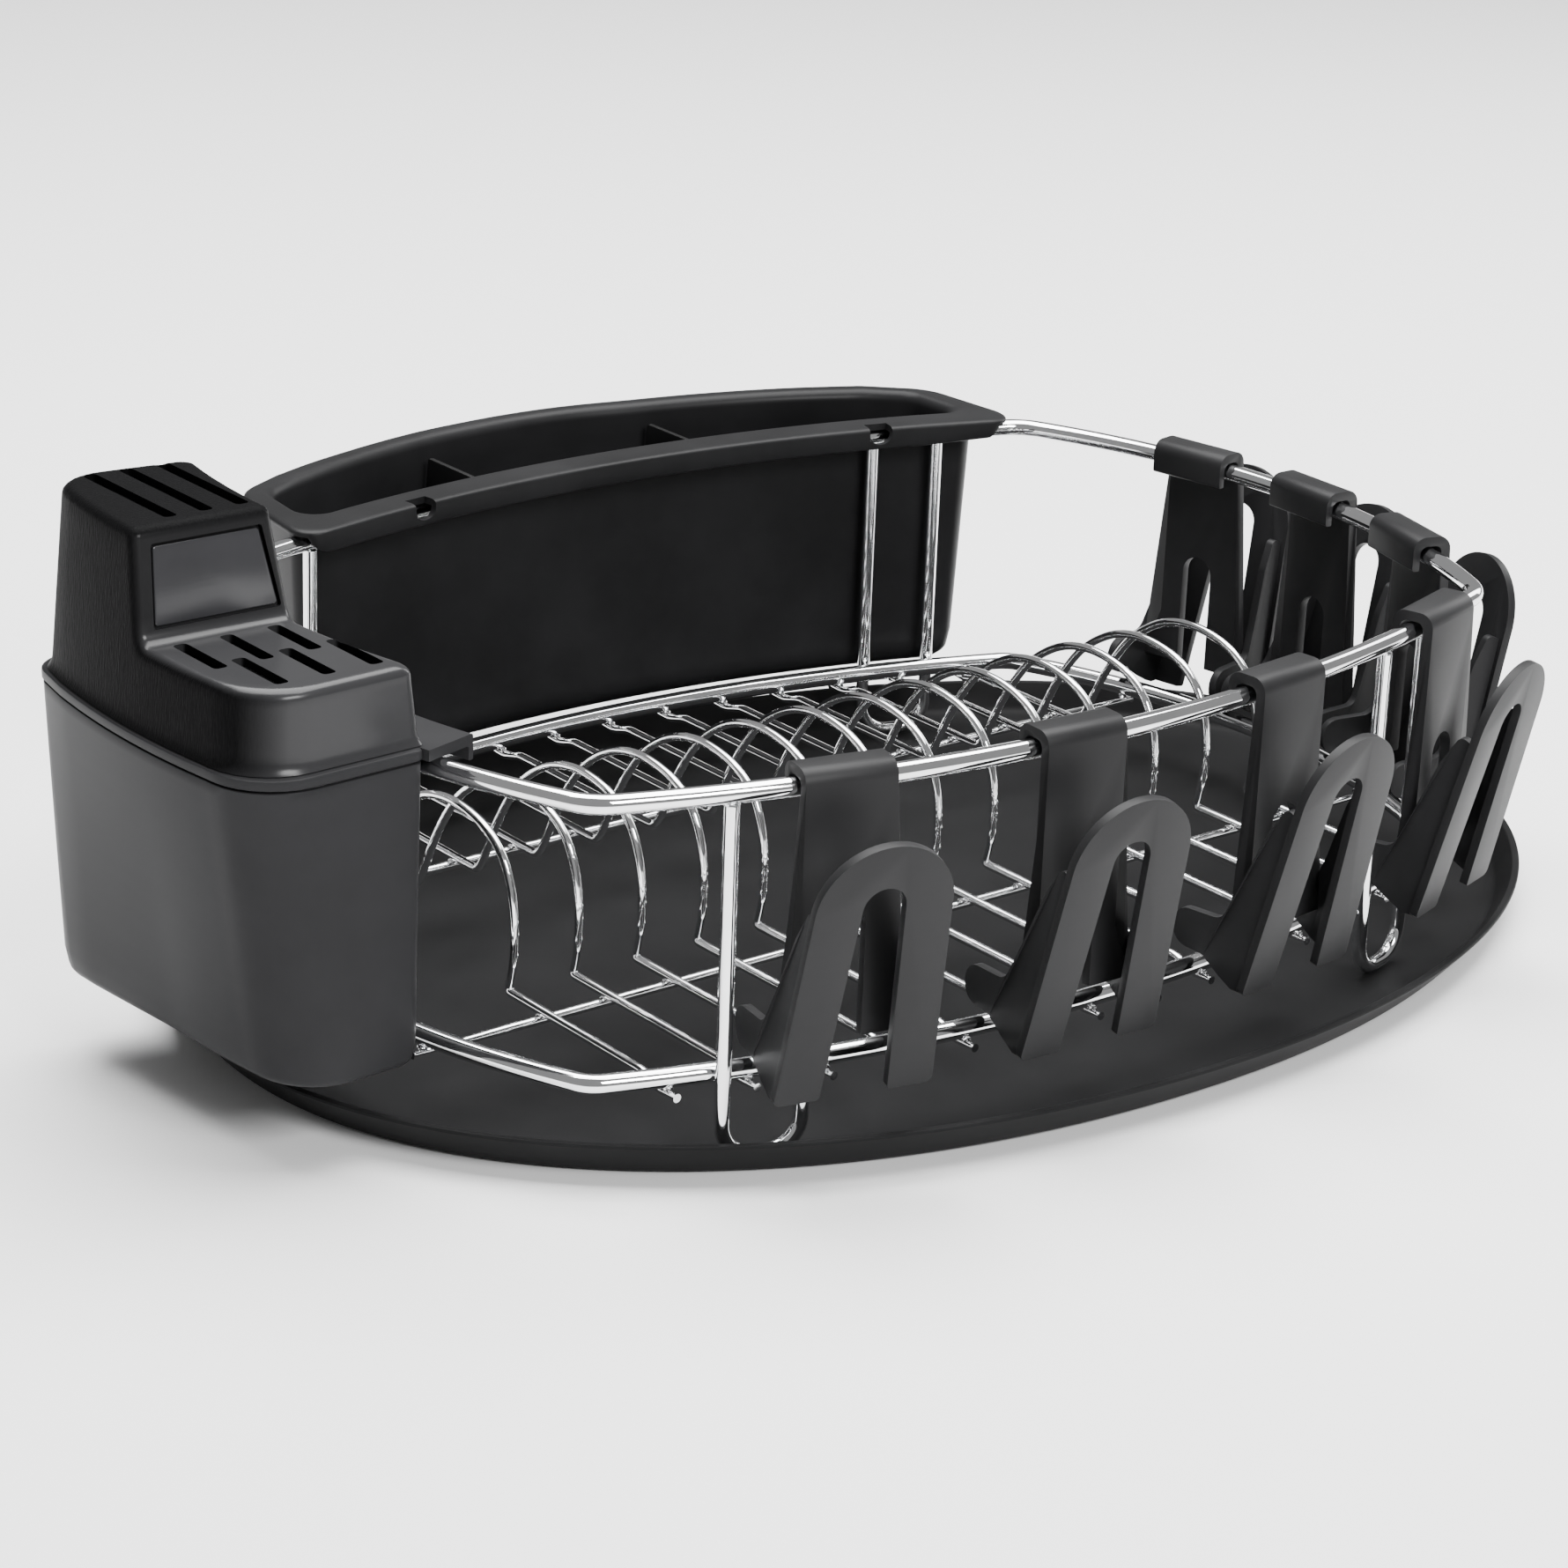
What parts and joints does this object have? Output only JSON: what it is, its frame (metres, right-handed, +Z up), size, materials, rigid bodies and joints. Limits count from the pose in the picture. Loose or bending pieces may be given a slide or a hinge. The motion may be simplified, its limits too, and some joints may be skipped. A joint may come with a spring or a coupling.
{
  "type": "dish drying rack",
  "caption": "Oval wire dish rack on a drip tray, with wire arches for plates, a cutlery caddy topped by a slotted knife block, a divided utensil bin and clip-on cup holders.",
  "frame": {"origin": "centre of the bounding box in plan, at the underside of the drip tray", "axes": "+Z up, +X to the right along the rack's length, -Y towards the side with the row of four cup holders; the caddy is at -X and the utensil bin at +Y"},
  "size_m": [0.5616, 0.4124, 0.192],
  "materials": {
    "chrome_wire": "polished chrome plate",
    "tray_black": "satin black moulded plastic",
    "caddy_black": "satin black moulded plastic",
    "block_black": "satin black moulded plastic",
    "panel_gloss": "smooth glossy dark grey plastic",
    "bin_black": "satin black moulded plastic",
    "divider_black": "matt black moulded plastic",
    "holder_black": "matt black moulded plastic"
  },
  "bodies": {
    "tray": {"drip_tray": "tray_black"},
    "rack": {"top_rail": "chrome_wire", "bottom_rail": "chrome_wire", "plate_wire_01": "chrome_wire", "plate_wire_02": "chrome_wire", "plate_wire_03": "chrome_wire", "plate_wire_04": "chrome_wire", "plate_wire_05": "chrome_wire", "plate_wire_06": "chrome_wire", "plate_wire_07": "chrome_wire", "plate_wire_08": "chrome_wire", "plate_wire_09": "chrome_wire", "plate_wire_10": "chrome_wire", "plate_wire_11": "chrome_wire", "plate_wire_12": "chrome_wire", "plate_wire_13": "chrome_wire", "plate_wire_14": "chrome_wire", "cross_wire_front": "chrome_wire", "cross_wire_back": "chrome_wire", "leg_front_left": "chrome_wire", "leg_front_right": "chrome_wire", "leg_back_left": "chrome_wire", "leg_back_right": "chrome_wire"},
    "caddy": {"cutlery_caddy": "caddy_black"},
    "knife_block": {"knife_block_lid": "block_black", "block_panel": "panel_gloss"},
    "bin": {"utensil_bin": "bin_black"},
    "left_divider": {"divider_left": "divider_black"},
    "right_divider": {"divider_right": "divider_black"},
    "holder_1": {"cup_holder_1": "holder_black"},
    "holder_2": {"cup_holder_2": "holder_black"},
    "holder_3": {"cup_holder_3": "holder_black"},
    "holder_4": {"cup_holder_4": "holder_black"},
    "holder_5": {"cup_holder_5": "holder_black"},
    "holder_6": {"cup_holder_6": "holder_black"},
    "holder_7": {"cup_holder_7": "holder_black"}
  },
  "joints": [
    {"name": "rack_lift", "type": "slide", "parent": "tray", "child": "rack", "axis": [0, 0, 1], "range_m": [0, 0.15]},
    {"name": "caddy_lift", "type": "slide", "parent": "rack", "child": "caddy", "axis": [0, 0, 1], "range_m": [0, 0.12]},
    {"name": "block_lift", "type": "slide", "parent": "caddy", "child": "knife_block", "axis": [0, 0, 1], "range_m": [0, 0.1]},
    {"name": "bin_lift", "type": "slide", "parent": "rack", "child": "bin", "axis": [0, 0, 1], "range_m": [0, 0.12]},
    {"name": "left_divider_lift", "type": "slide", "parent": "bin", "child": "left_divider", "axis": [0, 0, 1], "range_m": [0, 0.1]},
    {"name": "right_divider_lift", "type": "slide", "parent": "bin", "child": "right_divider", "axis": [0, 0, 1], "range_m": [0, 0.1]},
    {"name": "holder_1_swing", "type": "hinge", "parent": "rack", "child": "holder_1", "pos_m": [-0.11373, -0.15752, 0.1247], "axis": [-0.976, 0.2178, 0], "range_deg": [0, 16]},
    {"name": "holder_2_swing", "type": "hinge", "parent": "rack", "child": "holder_2", "pos_m": [-0.03123, -0.16905, 0.1247], "axis": [-0.9983, 0.0581, 0], "range_deg": [0, 16]},
    {"name": "holder_3_swing", "type": "hinge", "parent": "rack", "child": "holder_3", "pos_m": [0.05877, -0.16642, 0.1247], "axis": [-0.9932, -0.1161, 0], "range_deg": [0, 16]},
    {"name": "holder_4_swing", "type": "hinge", "parent": "rack", "child": "holder_4", "pos_m": [0.15077, -0.14705, 0.1247], "axis": [-0.9557, -0.2942, 0], "range_deg": [0, 16]},
    {"name": "holder_5_swing", "type": "hinge", "parent": "rack", "child": "holder_5", "pos_m": [0.20667, -0.08162, 0.1247], "axis": [-0.2554, -0.9668, 0], "range_deg": [0, 16]},
    {"name": "holder_6_swing", "type": "hinge", "parent": "rack", "child": "holder_6", "pos_m": [0.21518, -0.02462, 0.1247], "axis": [-0.0381, -0.9993, 0], "range_deg": [0, 16]},
    {"name": "holder_7_swing", "type": "hinge", "parent": "rack", "child": "holder_7", "pos_m": [0.21112, 0.03238, 0.1247], "axis": [0.1792, -0.9838, 0], "range_deg": [0, 16]}
  ]
}
